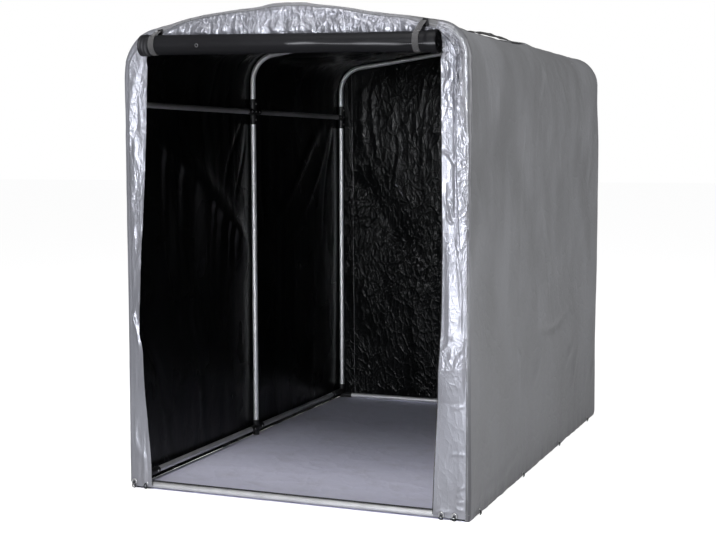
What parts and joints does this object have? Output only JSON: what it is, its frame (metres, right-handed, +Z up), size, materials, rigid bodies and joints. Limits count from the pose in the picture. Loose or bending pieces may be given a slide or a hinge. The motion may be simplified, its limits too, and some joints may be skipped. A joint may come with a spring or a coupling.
{
  "type": "bike shelter",
  "caption": "Walk-in fabric bike shelter: bent-tube frame in moulded socket joints, sewn silver cover with rounded eaves, low gable roof and a rolled-up front door.",
  "frame": {"origin": "middle of the shelter's footprint under the cover, on the ground", "axes": "+Z up, -Y out of the doorway, +X to the right seen from the front"},
  "size_m": [1.5, 2.3881, 2.008],
  "materials": {
    "tube": "satin galvanised steel tube",
    "joint_plastic": "matt black moulded plastic",
    "silver_cover": "silver coated woven sheet, black on the inside",
    "black_lining": "black coated woven sheet with a slight gloss",
    "webbing": "woven grey and black webbing",
    "floor_fabric": "pale grey coated floor sheet",
    "bright_metal": "plated eyelets and screws",
    "elastic": "black elastic cord"
  },
  "bodies": {
    "root": {"front_left_leg": "tube", "front_right_leg": "tube", "middle_left_leg": "tube", "middle_right_leg": "tube", "rear_left_leg": "tube", "rear_right_leg": "tube", "front_left_bow": "tube", "front_right_bow": "tube", "middle_left_bow": "tube", "middle_right_bow": "tube", "rear_left_bow": "tube", "rear_right_bow": "tube", "left_side_rails": "tube", "right_side_rails": "tube", "left_base_rails": "tube", "right_base_rails": "tube", "ridge_rails": "tube", "front_sill": "tube", "rear_sill": "tube", "front_left_side_joint": "joint_plastic", "front_right_side_joint": "joint_plastic", "middle_left_side_joint": "joint_plastic", "middle_right_side_joint": "joint_plastic", "rear_left_side_joint": "joint_plastic", "rear_right_side_joint": "joint_plastic", "front_left_foot": "joint_plastic", "front_right_foot": "joint_plastic", "middle_left_foot": "joint_plastic", "middle_right_foot": "joint_plastic", "rear_left_foot": "joint_plastic", "rear_right_foot": "joint_plastic", "front_ridge_joint": "joint_plastic", "middle_ridge_joint": "joint_plastic", "rear_ridge_joint": "joint_plastic", "roof_cover": "silver_cover", "left_wall": "silver_cover", "right_wall": "silver_cover", "rear_wall": "silver_cover", "front_left_flap": "silver_cover", "front_right_flap": "silver_cover", "front_valance": "silver_cover", "door_roll": "black_lining", "left_door_strap": "webbing", "right_door_strap": "webbing", "floor_sheet": "floor_fabric"}
  },
  "joints": []
}
